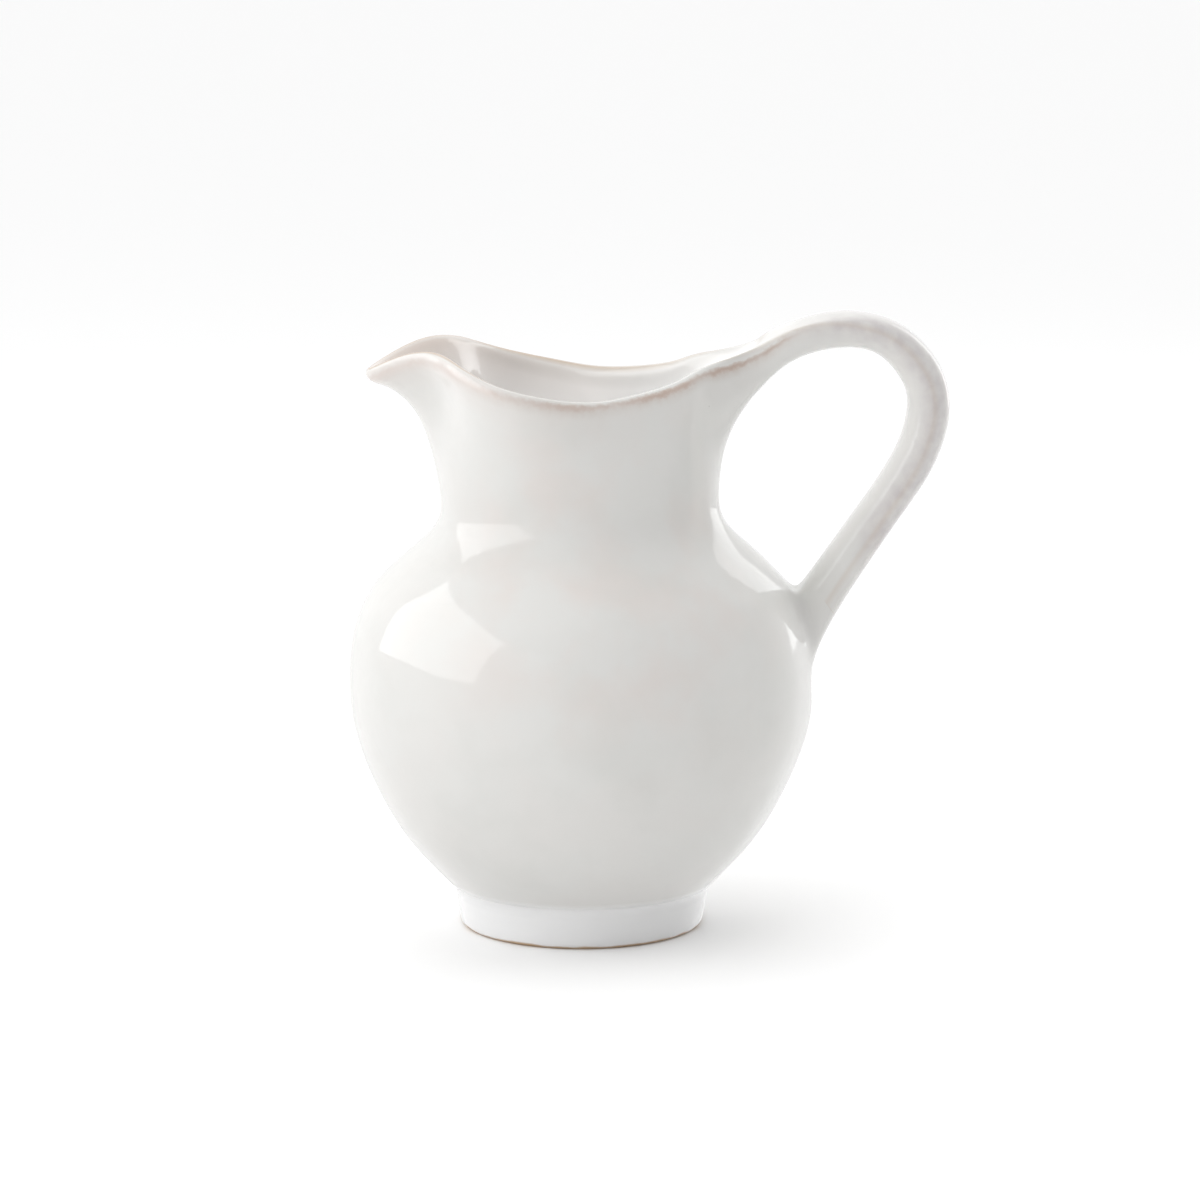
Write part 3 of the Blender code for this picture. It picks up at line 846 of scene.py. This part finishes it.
# %% Hide each solid and let its piece move with the root
for piece, node in ((thrown_body, "body"), (strap_handle, "handle"), (turned_foot, "foot_ring")):
    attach(piece, "root")
    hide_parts(node)
    print(f"{piece.name} stands for {node}")

# %% [markdown]
# ## The floor
# A plain white table top. It is large, so that its edge is never in view. It lights the pot from below
# but is left out of its reflections, because a hard horizon across a round glossy belly would cut it in
# two. A studio does the same with a sheet of matt paper that curves up behind the pot.

# %% Lay the floor
floor_mesh = bpy.data.meshes.new("table")
reach = 6.0
corners = [(-reach, -reach, 0), (reach, -reach, 0), (reach, reach, 0), (-reach, reach, 0)]
floor_mesh.from_pydata(corners, [], [(0, 1, 2, 3)])
paper = bpy.data.materials.new("white paper")
paper.use_nodes = True
paper_shader = paper.node_tree.nodes["Principled BSDF"]
paper_shader.inputs["Base Color"].default_value = (0.94, 0.94, 0.94, 1)
paper_shader.inputs["Roughness"].default_value = 0.9
paper_shader.inputs["Specular IOR Level"].default_value = 0.1
floor_mesh.materials.append(paper)
table = bpy.data.objects.new("table", floor_mesh)
bpy.context.scene.collection.objects.link(table)
table.visible_glossy = False
print("the floor is laid")

# %% [markdown]
# ## The light of a white studio
# White pottery is lit by large soft sources, and what gives it shape is what is dark. The surroundings
# are bright behind the pot and dimmer behind the camera, so its middle is greyer than its edges. In a
# studio one lamp gives both the light and its reflection. Here the two are set
# apart: on each side one soft box lights the pot without showing in it, and another only shows in it.
# The left one makes the squarish reflections on belly and shoulder, and the right one the narrow ones
# over the handle's foot. Lamps that share a plane would hide each other, so they are set apart in depth.

# %% Surroundings that are dimmer behind the camera
surroundings = bpy.data.worlds.new("studio")
bpy.context.scene.world = surroundings
surroundings.use_nodes = True
sky = surroundings.node_tree
sky.nodes.clear()
towards = add(sky, "ShaderNodeTexCoord").outputs["Generated"]
depth = add(sky, "ShaderNodeSeparateXYZ", Vector=towards).outputs["Y"]
dim, bright = 0.27, 1.0
level = add(sky, "ShaderNodeMapRange", _0=depth, _1=0.20, _2=0.80, _3=dim, _4=bright).outputs[0]
backdrop = add(sky, "ShaderNodeBackground", Color=(1.0, 1.0, 1.0, 1), Strength=level)
add(sky, "ShaderNodeOutputWorld", Surface=backdrop.outputs[0])
print(f"the surroundings go from {dim} behind the camera to {bright} behind the pot")


# %% Hang the soft boxes
def soft_box(name, place_at, aim_at, width, height_of, radiance, in_reflections):
    """A rectangular lamp of a given brightness, turned to a point. It lights the pot, or shows in it."""
    lamp = bpy.data.lights.new(name, "AREA")
    lamp.shape = "RECTANGLE"
    lamp.size, lamp.size_y = width, height_of
    lamp.energy = radiance * math.pi * width * height_of
    holder = bpy.data.objects.new(name, lamp)
    holder.location = place_at
    holder.rotation_euler = (Vector(aim_at) - Vector(place_at)).to_track_quat("-Z", "Y").to_euler()
    holder.visible_glossy = in_reflections
    holder.visible_diffuse = not in_reflections
    bpy.context.scene.collection.objects.link(holder)
    print(f"{name}: {lamp.energy:.2f} W over {width} x {height_of} m")


pot_middle = (0, 0, 0.07)
before_pot = (0, -0.19, 0.07)
soft_box("left soft box", (-0.53, -0.24, 0.42), pot_middle, 0.95, 0.48, 1.45, False)
soft_box("left reflection", (-0.55, -0.14, 0.32), before_pot, 0.86, 0.48, 1.6, True)
soft_box("right soft box", (0.66, 0.34, 0.34), pot_middle, 0.60, 0.60, 1.5, False)
soft_box("right reflection", (0.46, 0.60, 0.30), pot_middle, 0.22, 0.60, 0.9, True)

# %% [markdown]
# ## Light from overhead
# A wide, even light from the ceiling whitens the table and falls into the mouth. A sun lamp with a very
# large angle does this, because it lights the whole table alike, however far away it is. It leans a
# little to the left, and is kept out of the reflections, where it would be a round white disc.

# %% Light the table from overhead
ceiling = bpy.data.lights.new("ceiling", "SUN")
ceiling.energy = 1.95
ceiling.angle = math.radians(110)
overhead = bpy.data.objects.new("ceiling", ceiling)
overhead.rotation_euler = (math.radians(-3), math.radians(-11), 0)
overhead.visible_glossy = False
bpy.context.scene.collection.objects.link(overhead)
print(f"the ceiling gives {ceiling.energy} W for each square metre")

# %% [markdown]
# ## The camera
# A long lens at a little under a metre, looking slightly down, so that the mouth shows its inside and
# the foot its near edge. A long lens keeps the round forms calm.

# %% Set up the camera
camera_data = bpy.data.cameras.new("camera")
camera_data.sensor_width = 36.0
camera_data.lens = 130.65
looks_down = math.radians(10.24)
camera = bpy.data.objects.new("camera", camera_data)
camera.location = (0.003885, -0.900, 0.23162)
camera.rotation_euler = (math.radians(90) - looks_down, 0, 0)
bpy.context.scene.collection.objects.link(camera)
bpy.context.scene.camera = camera
bpy.context.scene.view_settings.view_transform = "Standard"
print(f"the camera is {camera.location.length:.2f} m away with a {camera_data.lens:.0f} mm lens")
